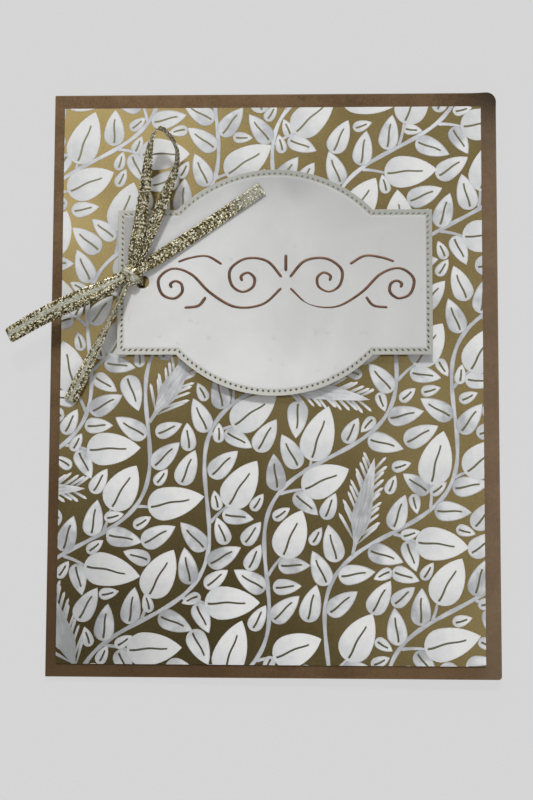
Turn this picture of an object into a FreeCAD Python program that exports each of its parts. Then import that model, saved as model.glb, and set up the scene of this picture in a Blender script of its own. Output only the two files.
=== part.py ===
import FreeCAD, Part
import math
import os

# A folded greeting card, closed and lying on its back leaf.
# X runs to the right of its front, Y to the top of its front, Z up; the origin is
# under the middle of the card. All sizes are in millimetres.

# Card stock and fold
card_width = 106.9
card_height = 139.7
card_stock = 0.35          # one leaf
fold_gap = 0.4             # between the two leaves, at the fold
spring_open = 1.7          # how much higher the front leaf's free edge stands
worn_radius = 2.6          # top right corner, rounded by handling
blunt_radius = 0.8         # bottom right corner
turn_reach = 3.7           # the worn corner turns up over this length
turn_radius = 9.0

# Patterned panel, glued on the front leaf
border_left = 2.55         # kraft left bare round the panel
border_right = 3.65
border_top = 3.35
border_bottom = 3.05
panel_paper = 0.25

# Foliage printed on the panel
print_rise = 0.08
vine_tilt = -28.0          # degrees
vine_spacing = 21.0
vine_swing = 7.0
vine_wave = 64.0
row_phase = 0.9            # radians that the wave moves on from one vine to the next
vine_width = 1.0
vine_rows = range(-4, 5)
node_step = 9.2            # between leaf nodes along a vine
plume_turn = 38.0          # degrees from the vine to a plume, a twig and a small leaf
twig_turn = 48.0
side_leaf_turn = 42.0
fill_leaf_turn = 52.0
sway_turn = 6.0            # a twig's turn and a leaf's length vary this much
sway_long = 0.8
twig_length = 6.0
twig_width = 0.7
leaf_long = 12.8
leaf_round = 3.9           # radius of a leaf's round base
side_leaf_long = 8.8
side_leaf_round = 2.4
pair_leaf_long = 7.6
pair_leaf_round = 2.1
loose_leaves = ((9.0, 2.5), (6.8, 1.9), (4.8, 1.4))     # lengths and base radii, to fill what is left
loose_turns = (0, 45, -45, 90, -90, 135, -135, 180)     # degrees from the drift that they follow
loose_drift = 50.0
loose_gap = 0.3
loose_grid = 2.0
plume_length = 24.0
plume_stalk = 0.45         # half its width
plume_bare = 4.2           # stalk below the first needle
plume_room = 3.6           # radius kept clear round a plume's spine
needle_length = 8.2
needle_step = 2.7
big_leaf_stations = (0.08, 0.28, 0.62)      # shares of a leaf's length where its outline has points
small_leaf_stations = (0.14, 0.5)
print_gap = 0.12           # gold left between two printed fields
room_cell = 8.0            # side of the squares that covered places are sorted into

# Label tag, held off the panel by foam
tag_width = 75.0
tag_stub_height = 34.9
tag_dome_chord = 46.8
tag_dome_rise = 9.8
tag_stock = 0.35
tag_x = 0.3
tag_y = 23.5
hole_diameter = 3.2
hole_from_edge = 6.0       # hole's middle from the tag's left edge
foam_height = 1.5
foam_side = 12.0
foam_inset_x = 11.5        # from the tag's ends and sides
foam_inset_y = 1.45

# Line ornament on the tag
ornament_rise = 0.1
ornament_shift_x = 2.7
ornament_shift_y = -0.4
stroke_width = 0.68

# Ribbon
ribbon_width = 3.2
ribbon_thick = 0.3
wrap_width = 2.5           # gathered where it goes through the hole
gathered = 0.45            # share of the ribbon's width left inside the knot
gather_length = 5.0
knot_length = 4.5
knot_height = 2.7
knot_edge = 0.6            # rounding of its ends
knot_turn = 30.0           # degrees, the knot's long way from X
knot_left = 2.75           # knot's middle, from the hole's
knot_up = 1.4
knot_clear = 0.12          # knot above the tag
wrap_clear = 0.5           # ribbon's middle above, below and beside the tag that it goes round

panel_width = card_width - border_left - border_right
panel_height = card_height - border_top - border_bottom
panel_x = (border_left - border_right) / 2
panel_y = (border_bottom - border_top) / 2
vine_reach = math.hypot(panel_width, panel_height) / 2 + 2 * vine_swing
bend_reach = turn_reach + worn_radius * (math.sqrt(2) - 1)
fold_radius = card_stock + fold_gap / 2
fold_x = -card_width / 2 + fold_radius
lift_angle = math.atan(spring_open / card_width)
leaf_top = 2 * fold_radius
print_top = panel_paper + print_rise
tag_bottom = print_top + foam_height
tag_top = tag_bottom + tag_stock
tag_left = tag_x - tag_width / 2
hole_x = tag_left + hole_from_edge
knot_x = hole_x - knot_left
knot_y = tag_y + knot_up
knot_rise = tag_top + knot_clear + knot_height / 2


def vec(x, y, z=0.0):
    return FreeCAD.Vector(x, y, z)


def slab(edges, bottom, thickness):
    """Flat plate from a closed outline that is drawn at height nought."""
    face = Part.Face(Part.Wire(edges))
    plate = face.extrude(vec(0, 0, thickness))
    plate.translate(vec(0, 0, bottom))
    return plate


def polygon(points):
    ring = points + points[:1]
    return [Part.LineSegment(a, b).toShape() for a, b in zip(ring, ring[1:])]


def arc(start, middle, end):
    return Part.Arc(start, middle, end).toShape()


def on_front(shape):
    """Lift a shape from the flat front leaf's height to the leaf as it lies, sprung open."""
    placed = shape.copy()
    placed.translate(vec(0, 0, leaf_top))
    placed.rotate(vec(fold_x, 0, fold_radius), vec(0, -1, 0), math.degrees(lift_angle))
    return placed


# Card base: one sheet, folded once

def fold_point(radius, angle):
    return vec(fold_x + radius * math.cos(angle), 0, fold_radius + radius * math.sin(angle))


def folded_sheet():
    inner = fold_radius - card_stock
    down = math.radians(270)
    up = math.radians(90) + lift_angle
    half_way = (down + up) / 2
    along = vec(math.cos(lift_angle), 0, math.sin(lift_angle))
    outer_top = fold_point(fold_radius, up)
    inner_top = fold_point(inner, up)
    reach = (card_width / 2 - outer_top.x) / along.x
    far_top = outer_top + along * reach
    far_under = inner_top + along * reach
    back_low = vec(card_width / 2, 0, 0)
    back_high = vec(card_width / 2, 0, card_stock)
    outer_low = fold_point(fold_radius, down)
    inner_low = fold_point(inner, down)
    section = [
        Part.LineSegment(back_low, outer_low).toShape(),
        arc(outer_low, fold_point(fold_radius, half_way), outer_top),
        Part.LineSegment(outer_top, far_top).toShape(),
        Part.LineSegment(far_top, far_under).toShape(),
        Part.LineSegment(far_under, inner_top).toShape(),
        arc(inner_top, fold_point(inner, half_way), inner_low),
        Part.LineSegment(inner_low, back_high).toShape(),
        Part.LineSegment(back_high, back_low).toShape(),
    ]
    sheet = Part.Face(Part.Wire(section)).extrude(vec(0, card_height, 0))
    sheet.translate(vec(0, -card_height / 2, 0))
    return sheet


def corner_waste(side, radius):
    """What rounding takes off a right-hand corner, through both leaves."""
    x = card_width / 2
    y = side * card_height / 2
    spare = 1.0
    depth = leaf_top + 4 * spring_open
    middle = vec(x - radius, y - side * radius)
    edges = [
        arc(vec(x, y - side * radius),
            middle + vec(radius, side * radius) * math.sqrt(0.5),
            vec(x - radius, y)),
        Part.LineSegment(vec(x - radius, y), vec(x - radius, y + side * spare)).toShape(),
        Part.LineSegment(vec(x - radius, y + side * spare), vec(x + spare, y + side * spare)).toShape(),
        Part.LineSegment(vec(x + spare, y + side * spare), vec(x + spare, y - side * radius)).toShape(),
        Part.LineSegment(vec(x + spare, y - side * radius), vec(x, y - side * radius)).toShape(),
    ]
    return slab(edges, -spring_open, depth)


def corner_prism(bottom, thickness):
    """Plan of the worn corner beyond its bend line."""
    x = card_width / 2
    y = card_height / 2
    reach = bend_reach * math.sqrt(2)
    return slab(polygon([vec(x, y), vec(x - reach, y), vec(x, y - reach)]), bottom, thickness)


def turned_corner():
    """The bent corner: an arc of the sheet's thickness, drawn out along the bend line."""
    turn = 1.15 * bend_reach / turn_radius
    bend_distance = (card_width + card_height) / 2 / math.sqrt(2) - bend_reach

    def at(radius, angle):
        s = bend_distance + radius * math.sin(angle)
        return vec(s, 0, turn_radius - radius * math.cos(angle))

    under = turn_radius + card_stock
    section = [
        arc(at(turn_radius, 0), at(turn_radius, turn / 2), at(turn_radius, turn)),
        Part.LineSegment(at(turn_radius, turn), at(under, turn)).toShape(),
        arc(at(under, turn), at(under, turn / 2), at(under, 0)),
        Part.LineSegment(at(under, 0), at(turn_radius, 0)).toShape(),
    ]
    span = 4 * bend_reach
    band = Part.Face(Part.Wire(section)).extrude(vec(0, span, 0))
    band.translate(vec(0, -span / 2 + (card_height - card_width) / 2 / math.sqrt(2), 0))
    band.rotate(vec(0, 0), vec(0, 0, 1), 45)
    return band.common(corner_prism(-2 * card_stock, turn_radius))


def card_base():
    sheet = folded_sheet()
    front_corner = on_front(corner_prism(-card_stock - fold_gap / 2, 2 * card_stock + fold_gap))
    sheet = sheet.cut(front_corner).fuse(on_front(turned_corner()))
    sheet = sheet.cut(corner_waste(1, worn_radius))
    sheet = sheet.cut(corner_waste(-1, blunt_radius))
    return sheet.removeSplitter()


# Patterned panel

def panel():
    plate = Part.makeBox(panel_width, panel_height, panel_paper)
    plate.translate(vec(panel_x - panel_width / 2, panel_y - panel_height / 2, 0))
    return on_front(plate)


# Foliage: trailing vines with pointed leaves and plumes, and loose leaves between them

def turned(x, y, angle):
    return vec(x * math.cos(angle) - y * math.sin(angle), x * math.sin(angle) + y * math.cos(angle))


def vine_point(row, along):
    across = row * vine_spacing + vine_swing * math.sin(2 * math.pi * along / vine_wave + row_phase * row)
    return turned(across, along, math.radians(vine_tilt))


def vine_heading(row, along):
    ahead = vine_point(row, along + 0.1)
    behind = vine_point(row, along - 0.1)
    return math.atan2(ahead.y - behind.y, ahead.x - behind.x)


def leaf_circles(leaf):
    """Circles that fill a leaf, to test whether it has room."""
    x, y, angle, length, radius = leaf
    spots = [(radius * 1.15, radius * 0.93), (length * 0.5, radius * 0.9),
             (length * 0.7, radius * 0.66), (length * 0.88, radius * 0.3)]
    return [(x + d * math.cos(angle), y + d * math.sin(angle), r) for d, r in spots]


def room_key(x, y):
    return math.floor(x / room_cell), math.floor(y / room_cell)


def cover(circles, taken):
    for circle in circles:
        taken.setdefault(room_key(*circle[:2]), []).append(circle)


def has_room(circles, taken, gap):
    """True if the circles keep clear of those taken, which lie sorted by squares of the page."""
    for x, y, r in circles:
        i, k = room_key(x, y)
        for key in [(i + a, k + b) for a in (0, -1, 1) for b in (0, -1, 1)]:
            for u, v, q in taken.get(key, ()):
                if math.hypot(x - u, y - v) <= r + q + gap:
                    return False
    return True


def near_panel(x, y):
    return abs(x) < panel_width / 2 + 5 and abs(y) < panel_height / 2 + 5


def foliage_layout():
    """Place vines, plumes, leaves and loose leaves, each only where it has room."""
    leaves, twigs, plumes, taken = [], [], [], {}

    def add_leaf(x, y, angle, length, radius, gap=0.0):
        leaf = (x, y, angle, length, radius)
        circles = leaf_circles(leaf)
        fits = near_panel(x, y) and has_room(circles, taken, gap)
        if fits:
            leaves.append(leaf)
            cover(circles, taken)
        return fits

    stem_step = 1.5
    stem_room = 0.25
    for row in vine_rows:
        ends = int(vine_reach / stem_step) + 1
        for i in range(-ends, ends + 1):
            p = vine_point(row, i * stem_step)
            cover([(p.x, p.y, stem_room)], taken)

    nodes = []
    for row in vine_rows:
        count = int(vine_reach / node_step)
        for j in range(-count, count + 1):
            nodes.append((row, j, (j + 0.5 * (row % 2)) * node_step))

    for row, j, along in nodes:
        if (2 * j + 3 * row) % 9 == 0:
            side = 1 if (j + row) % 2 == 0 else -1
            p = vine_point(row, along)
            angle = vine_heading(row, along) - side * math.radians(plume_turn)
            spine = [plume_length * share for share in (0.24, 0.4, 0.56, 0.72, 0.88)]
            body = [(p.x + d * math.cos(angle), p.y + d * math.sin(angle), plume_room) for d in spine]
            if has_room(body[1:], taken, 0.0):
                plumes.append((p.x, p.y, angle))
                cover(body, taken)

    for row, j, along in nodes:
        side = 1 if (j + row) % 2 == 0 else -1
        p = vine_point(row, along)
        heading = vine_heading(row, along)
        sway = math.sin(3.1 * j + 1.7 * row)
        angle = heading - side * math.radians(twig_turn + sway_turn * sway)
        for part in (1.0, 0.75, 0.5, 0.3):
            reach = twig_length * part
            tip = vec(p.x + reach * math.cos(angle), p.y + reach * math.sin(angle))
            long = leaf_long + sway_long * sway
            if add_leaf(tip.x, tip.y, angle + side * 0.22, long, leaf_round, print_gap):
                twigs.append((p.x, p.y, angle, reach))
                if part > 0.6:
                    fork = vec(p.x + 0.62 * reach * math.cos(angle), p.y + 0.62 * reach * math.sin(angle))
                    for turn in (0.95, -0.95):
                        add_leaf(fork.x + 0.5 * math.cos(angle + turn), fork.y + 0.5 * math.sin(angle + turn),
                                 angle + turn, pair_leaf_long, pair_leaf_round)
                break
        angle = heading + side * math.radians(side_leaf_turn)
        add_leaf(p.x + math.cos(angle), p.y + math.sin(angle), angle, side_leaf_long, side_leaf_round)

    for row, j, along in nodes:
        for share in (0.35, 0.7):
            p = vine_point(row, along + node_step * share)
            heading = vine_heading(row, along + node_step * share)
            for side in (1, -1):
                angle = heading + side * math.radians(fill_leaf_turn)
                add_leaf(p.x + 0.9 * math.cos(angle), p.y + 0.9 * math.sin(angle), angle,
                         side_leaf_long, side_leaf_round)

    for length, radius in loose_leaves:
        for i in range(int(panel_height / loose_grid) + 1):
            for k in range(int(panel_width / loose_grid) + 1):
                x = (k + 0.5 * (i % 2)) * loose_grid - panel_width / 2
                y = i * loose_grid - panel_height / 2
                drift = vine_tilt + 90 + loose_drift * math.sin(0.13 * x + 0.08 * y)
                for turn in loose_turns:
                    if add_leaf(x, y, math.radians(drift + turn), length, radius, loose_gap):
                        break
    return leaves, twigs, plumes


def half_width(leaf, along):
    """Half a leaf's width: a half circle at its base, then an arc that leaves it without a corner."""
    length, radius = leaf[3:]
    rest = length - radius
    side_radius = (rest * rest + radius * radius) / (2 * radius)
    if along < radius:
        return math.sqrt(radius ** 2 - (along - radius) ** 2)
    return radius - side_radius + math.sqrt(side_radius ** 2 - (along - radius) ** 2)


def leaf_outline(leaf):
    x, y, angle, length, radius = leaf
    stations = big_leaf_stations if length > side_leaf_long else small_leaf_stations
    right = [(share * length, -half_width(leaf, share * length)) for share in stations]
    left = [(u, -v) for u, v in reversed(right)]
    return [vec(x, y) + turned(u, v, angle) for u, v in [(0, 0)] + right + [(length, 0)] + left]


def plume_outline(plume):
    """A stalk with pointed needles on both sides, drawn as one zigzag outline."""
    x, y, angle = plume
    count = int((plume_length - plume_bare) / needle_step)
    right = []
    for i in range(count):
        root = plume_bare + i * needle_step
        length = needle_length * (1.0 - 0.45 * i / count)
        right.append((root, plume_stalk))
        right.append((root + 0.86 * length, 0.5 * length))
    points = [(vine_width / 2 + print_gap, plume_stalk)] + right + [(plume_length, 0)]
    mirrored = [(u, -v) for u, v in reversed(points[:-1])]
    return [vec(x, y) + turned(u, v, angle) for u, v in points + mirrored]


def vine_outline(row):
    """Two rows of points, half the stem's width to each side of the wave."""
    step = vine_wave / 12
    ends = int(vine_reach / step) + 1
    ways = [i * step for i in range(-ends, ends + 1)]
    left, right = [], []
    for along in ways:
        p = vine_point(row, along)
        heading = vine_heading(row, along)
        aside = vec(-math.sin(heading), math.cos(heading)) * (vine_width / 2)
        left.append(p + aside)
        right.append(p - aside)
    return left + right[::-1]


def twig_outline(twig):
    x, y, angle, reach = twig
    half = twig_width / 2
    start = vine_width / 2 + print_gap
    end = reach - print_gap
    return [vec(x, y) + turned(u, v, angle)
            for u, v in ((start, half), (end, half), (end, -half), (start, -half))]


def hidden_by_tag(box):
    """True where a printed field lies wholly under the straight part of the tag or its domes."""
    margin = 2.0
    half = tag_width / 2 - margin
    high = tag_stub_height / 2 - margin
    inside_stub = (box.XMin > tag_x - half and box.XMax < tag_x + half
                   and box.YMin > tag_y - high and box.YMax < tag_y + high)
    dome_half = tag_dome_chord / 2 - margin
    dome_high = tag_stub_height / 2 + tag_dome_rise * 0.55 - margin
    inside_domes = (box.XMin > tag_x - dome_half and box.XMax < tag_x + dome_half
                    and box.YMin > tag_y - dome_high and box.YMax < tag_y + dome_high)
    return inside_stub or inside_domes


def leaf_print():
    leaves, twigs, plumes = foliage_layout()
    outlines = [leaf_outline(leaf) for leaf in leaves]
    outlines += [plume_outline(plume) for plume in plumes]
    outlines += [vine_outline(row) for row in vine_rows]
    outlines += [twig_outline(twig) for twig in twigs]
    page = Part.makeBox(panel_width, panel_height, 2 * print_rise)
    page.translate(vec(-panel_width / 2, -panel_height / 2, panel_paper))
    fields = []
    for outline in outlines:
        field = slab(polygon(outline), panel_paper, print_rise)
        box = field.BoundBox
        if hidden_by_tag(box):
            continue
        if max(abs(box.XMin), abs(box.XMax)) > panel_width / 2 \
                or max(abs(box.YMin), abs(box.YMax)) > panel_height / 2:
            field = field.common(page)
        fields += field.Solids
    group = Part.makeCompound(fields)
    group.translate(vec(panel_x, panel_y, 0))
    return on_front(group)


# Label tag and its foam

def tag_outline():
    half = tag_width / 2
    high = tag_stub_height / 2
    chord = tag_dome_chord / 2

    def at(x, y):
        return vec(tag_x + x, tag_y + y)

    return [
        Part.LineSegment(at(-half, -high), at(-half, high)).toShape(),
        Part.LineSegment(at(-half, high), at(-chord, high)).toShape(),
        arc(at(-chord, high), at(0, high + tag_dome_rise), at(chord, high)),
        Part.LineSegment(at(chord, high), at(half, high)).toShape(),
        Part.LineSegment(at(half, high), at(half, -high)).toShape(),
        Part.LineSegment(at(half, -high), at(chord, -high)).toShape(),
        arc(at(chord, -high), at(0, -high - tag_dome_rise), at(-chord, -high)),
        Part.LineSegment(at(-chord, -high), at(-half, -high)).toShape(),
    ]


def label_tag():
    plate = slab(tag_outline(), tag_bottom, tag_stock)
    punch = Part.makeCylinder(hole_diameter / 2, 3 * tag_stock, vec(hole_x, tag_y, tag_bottom - tag_stock))
    return on_front(plate.cut(punch))


def foam_pads():
    pads = []
    far_x = tag_width / 2 - foam_inset_x
    far_y = tag_stub_height / 2 - foam_inset_y
    for x in (-far_x, far_x - foam_side):
        for y in (-far_y, far_y - foam_side):
            pad = Part.makeBox(foam_side, foam_side, foam_height)
            pad.translate(vec(tag_x + x, tag_y + y, print_top))
            pads.append(pad)
    return on_front(Part.makeCompound(pads))


# Line ornament: scrolls along smooth lines, the right half given, and a drop in the middle

scrolls = [
    [(0.9, -1.0), (5.5, -5.0), (12.0, -5.6), (18.0, -2.2), (22.5, 2.2), (27.0, 3.6),
     (30.3, 1.2), (29.6, -2.6), (26.4, -3.4), (24.8, -1.2), (26.2, 0.5), (27.6, -0.5)],
    [(0.9, 1.4), (4.5, 5.4), (9.5, 6.0), (13.2, 3.2), (12.8, -0.6), (9.6, -1.8),
     (7.4, 0.4), (8.8, 2.6), (10.6, 1.4)],
    [(19.0, -3.2), (20.8, -5.3), (24.2, -5.8)],
    [(15.2, 4.6), (18.8, 6.6), (22.8, 6.2), (25.8, 5.2)],
]
drop = [(0.0, 2.9), (0.0, 5.0), (0.0, 7.0)]


def smooth_through(points, steps):
    """Points of a smooth line through the given ones: each span's slopes follow its neighbours."""
    p = [vec(*point) for point in points]
    p = [p[0] * 2 - p[1]] + p + [p[-1] * 2 - p[-2]]
    line = []
    for a, b, c, d in zip(p, p[1:], p[2:], p[3:]):
        for i in range(steps):
            t = i / steps
            line.append((b * 2 + (c - a) * t + (a * 2 - b * 5 + c * 4 - d) * t ** 2
                         + (b * 3 - a - c * 3 + d) * t ** 3) * 0.5)
    return line + [p[-2]]


def stroke_outline(points):
    line = smooth_through(points, 4)
    left, right = [], []
    for before, here, after in zip(line, line[1:], line[2:]):
        ahead = (after - before).normalize()
        aside = vec(-ahead.y, ahead.x) * (stroke_width / 2)
        left.append(here + aside)
        right.append(here - aside)
    return [line[0]] + left + [line[-1]] + right[::-1]


def ornament():
    strokes = [[(side * x, y) for x, y in scroll] for side in (1, -1) for scroll in scrolls] + [drop]
    solids = [slab(polygon(stroke_outline(stroke)), tag_top, ornament_rise) for stroke in strokes]
    group = Part.makeCompound(solids)
    group.translate(vec(tag_x + ornament_shift_x, tag_y + ornament_shift_y))
    return on_front(group)


# Ribbon: a route's points are (x and y from the knot, height above the tag, and the azimuth
# and rise, in degrees, of the ribbon's width there)

up_loop = [
    (0.05, 1.1, 2.12, 0, 20), (1.25, 6.1, 2.22, 0, 28), (2.95, 16.1, 3.02, 0, 32),
    (4.05, 25.1, 4.02, 0, 34), (4.65, 31.7, 4.52, 0, 38), (7.35, 35.7, 4.42, 0, 46),
    (11.65, 31.5, 3.72, 0, 52), (11.65, 26.9, 3.12, 0, 54), (8.55, 19.5, 2.52, 0, 54),
    (5.15, 11.5, 2.12, 0, 50), (2.45, 5.5, 1.72, 0, 40), (0.75, 1.1, 1.32, 0, 30),
]
side_loop = [
    (-1.05, -0.3, 2.22, 117, 0), (-6.15, -3.3, 3.52, 117, 4), (-13.55, -6.4, 4.32, 117, 6),
    (-21.05, -10.1, 4.22, 117, 6), (-27.35, -13.9, 3.72, 117, 3), (-29.05, -15, 2.72, 117, 0),
    (-27.05, -14, 1.72, 117, -3), (-21.05, -10.5, 1.72, 117, -5), (-13.55, -7, 1.82, 117, -5),
    (-6.05, -3.8, 1.72, 117, -3), (-1.05, -0.4, 1.22, 117, 0),
]
right_tail = [
    (1.05, 0.4, 1.52, 125, 0), (5.35, 3.5, 1.12, 125, 4), (13.95, 9.1, 0.62, 125, 3),
    (22.35, 14.9, 0.47, 125, 0), (31.25, 21.2, 0.57, 125, 0),
]
low_tail = [
    (-0.35, -0.9, 1.72, 20, 62), (-1.65, -4.1, 1.92, 20, 62), (-4.05, -9.3, 1.82, 22, 54),
    (-7.05, -15.5, 0.92, 26, 34), (-10.65, -22.1, -0.28, 28, 16), (-14.45, -29.8, -1.18, 28, 8),
]


def wrap_route():
    """Down through the hole, left under the tag, up round its edge and back to the knot."""
    above = tag_top + wrap_clear
    below = tag_bottom - wrap_clear
    outside = tag_left - wrap_clear
    middle = (above + below) / 2
    y = tag_y + 0.1
    points = [(hole_x - 1.6, y + 0.7, above + 0.4), (hole_x - 0.3, y, above + 0.3),
              (hole_x + 0.1, y, middle), (hole_x - 0.2, y, below),
              ((hole_x + tag_left) / 2, y + 0.3, below), (outside, y + 0.7, below),
              (outside - 0.6, y + 0.8, middle), (outside, y + 1.0, above),
              (knot_x - 1.2, y + 1.3, above + 0.2)]
    return [point + (90, 0) for point in points]


def from_knot_out(route):
    return [(knot_x + x, knot_y + y, tag_top + z, azimuth, rise) for x, y, z, azimuth, rise in route]


def band_solid(sections):
    """Closed solid through four-cornered sections: two triangles for each side of each step.

    The two wide sides, 0-1 and 3-2, are cut along the same diagonal, so a twist keeps its thickness.
    """
    first, last = sections[0], sections[-1]
    triangles = [(first[0], first[2], first[1]), (first[0], first[3], first[2]),
                 (last[0], last[1], last[2]), (last[0], last[2], last[3])]
    for near, far in zip(sections, sections[1:]):
        for i, k in ((0, 1), (1, 2), (3, 0)):
            triangles.append((near[i], near[k], far[k]))
            triangles.append((near[i], far[k], far[i]))
        triangles.append((near[2], near[3], far[2]))
        triangles.append((near[3], far[3], far[2]))
    faces = [Part.Face(Part.makePolygon([a, b, c, a])) for a, b, c in triangles]
    shell = Part.makeShell(faces)
    shell.sewShape()
    return Part.makeSolid(shell)


def smooth_line(points):
    """Curve of order three that starts and ends at its end points."""
    spans = len(points) - 2
    curve = Part.BSplineCurve()
    curve.buildFromPolesMultsKnots(points, [3] + [1] * (spans - 1) + [3],
                                   [i / spans for i in range(spans + 1)], False, 2)
    return curve


def width_direction(azimuth, rise):
    azimuth = math.radians(azimuth)
    rise = math.radians(rise)
    return vec(math.cos(azimuth) * math.cos(rise), math.sin(azimuth) * math.cos(rise), math.sin(rise))


def strip(route, width, steps, ends=1):
    """A flat band along a smooth line, turned as it goes so that its width follows the route.

    It is gathered where it enters the knot, at its start and, for a loop, at its far end too.
    """
    line = smooth_line([vec(*p[:3]) for p in route])
    aims = smooth_line([width_direction(*p[3:]) for p in route])
    sections = []
    for i in range(steps + 1):
        middle = line.value(i / steps)
        ahead = line.tangent(i / steps)[0]
        aim = aims.value(i / steps)
        across = (aim - ahead * aim.dot(ahead)).normalize()
        from_knot = line.length() * (min(i, steps - i) if ends == 2 else i) / steps
        spread = min(1.0, gathered + (1 - gathered) * from_knot / gather_length)
        a = across * (width / 2 * spread)
        b = ahead.cross(across) * (ribbon_thick / 2)
        sections.append([middle - a - b, middle + a - b, middle + a + b, middle - a + b])
    print("ribbon strand", round(line.length(), 1), "mm")
    return band_solid(sections)


def knot():
    """The band across the middle of the bow, as wide as the ribbon, rounded at its edges."""
    ellipse = Part.Ellipse(vec(0, 0), knot_length / 2, knot_height / 2).toShape()
    body = Part.Face(Part.Wire([ellipse])).extrude(vec(0, 0, ribbon_width))
    body.translate(vec(0, 0, -ribbon_width / 2))
    end_edges = [edge for edge in body.Edges if edge.Length > 1.2 * ribbon_width]
    body = body.makeFillet(knot_edge, end_edges)
    body.rotate(vec(0, 0), vec(1, 0, 0), 90)
    body.rotate(vec(0, 0), vec(0, 0, 1), knot_turn)
    body.translate(vec(knot_x, knot_y, knot_rise))
    return body


def ribbon_bow():
    bow = knot()
    strands = [strip(from_knot_out(up_loop), ribbon_width, 26, 2),
               strip(from_knot_out(side_loop), ribbon_width, 24, 2),
               strip(from_knot_out(right_tail), ribbon_width, 8),
               strip(from_knot_out(low_tail), ribbon_width, 12),
               strip(wrap_route(), wrap_width, 18, 2)]
    for strand in strands:
        bow = bow.fuse(strand)
    return on_front(bow)


nodes = {
    "card_base": card_base,
    "patterned_panel": panel,
    "leaf_print": leaf_print,
    "foam_pads": foam_pads,
    "label_tag": label_tag,
    "line_ornament": ornament,
    "ribbon_bow": ribbon_bow,
}

os.makedirs("parts", exist_ok=True)
for name, make in nodes.items():
    shape = make()
    shape.exportStep("parts/" + name + ".step")
    print(name, shape.ShapeType, "solids", len(shape.Solids), "valid", shape.isValid(),
          "volume", round(shape.Volume, 2))
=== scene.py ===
import math

import bmesh
import bpy
import numpy as np
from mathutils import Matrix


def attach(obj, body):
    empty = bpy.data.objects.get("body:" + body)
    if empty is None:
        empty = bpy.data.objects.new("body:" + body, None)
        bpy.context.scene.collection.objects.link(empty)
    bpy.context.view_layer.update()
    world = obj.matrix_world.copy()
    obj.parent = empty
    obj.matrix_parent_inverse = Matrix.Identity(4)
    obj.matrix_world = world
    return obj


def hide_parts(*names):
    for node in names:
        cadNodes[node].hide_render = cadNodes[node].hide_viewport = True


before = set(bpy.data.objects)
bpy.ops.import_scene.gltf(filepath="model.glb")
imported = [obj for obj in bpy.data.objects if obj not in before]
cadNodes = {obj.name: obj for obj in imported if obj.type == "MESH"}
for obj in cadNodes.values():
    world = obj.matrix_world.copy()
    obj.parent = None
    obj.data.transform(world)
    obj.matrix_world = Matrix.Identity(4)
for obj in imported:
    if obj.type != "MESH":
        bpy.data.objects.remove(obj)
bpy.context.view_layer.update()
print("frame loaded:", len(cadNodes), "nodes")

mm = 0.001

# The card lies closed on its back; its front leaf springs up a little about the fold.
card = {"width": 106.9, "height": 139.7, "stock": 0.35, "foldGap": 0.4, "springOpen": 1.7}
panel = {"width": 100.7, "height": 133.3, "x": -0.55, "y": -0.15, "paper": 0.25, "print": 0.08}
foldRadius = card["stock"] + card["foldGap"] / 2
foldX = -card["width"] / 2 + foldRadius
leafTop = 2 * foldRadius
lift = math.atan(card["springOpen"] / card["width"])


# millimetres on the flat front leaf (x, y, height above it) to metres on the leaf as it lies:
# raised by the fold's height, then turned about the fold's middle by the lift
def onFront(points):
    x = points[..., 0] - foldX
    z = points[..., 2] + leafTop - foldRadius
    return mm * np.stack([foldX + x * math.cos(lift) - z * math.sin(lift), points[..., 1],
                          foldRadius + x * math.sin(lift) + z * math.cos(lift)], -1)


def addObject(name, data):
    item = bpy.data.objects.new(name, data)
    bpy.context.scene.collection.objects.link(item)
    return item


def makeCamera():
    view = {"lens": 60.75, "place": (0.00422, -0.03239, 0.32185), "turn": (4.971, 1.017, 0.228)}
    data = bpy.data.cameras.new("photoCamera")
    data.lens = view["lens"]
    data.sensor_width = 36.0
    data.clip_start = 0.01
    data.clip_end = 20.0
    camera = addObject("photoCamera", data)
    camera.location = view["place"]
    camera.rotation_euler = [math.radians(a) for a in view["turn"]]
    bpy.context.scene.camera = camera


makeCamera()
print("camera placed")


class Link:     # an output socket; each operator on it adds one Math node
    def __init__(self, paint, socket):
        self.paint = paint
        self.socket = socket

    def math(self, operation, *others):
        return self.paint.add("Math", {"operation": operation}, [self, *others])

    def __rsub__(self, other):
        return self.paint.add("Math", {"operation": "SUBTRACT"}, [other, self])

    def __abs__(self):
        return self.math("ABSOLUTE")


def linkOperator(operation):
    return lambda link, other: link.math(operation, other)


operations = {
    "add": "ADD", "radd": "ADD", "sub": "SUBTRACT", "mul": "MULTIPLY", "rmul": "MULTIPLY",
    "truediv": "DIVIDE", "pow": "POWER", "lt": "LESS_THAN", "gt": "GREATER_THAN",
}
for sign, operation in operations.items():
    setattr(Link, "__" + sign + "__", linkOperator(operation))


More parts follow.
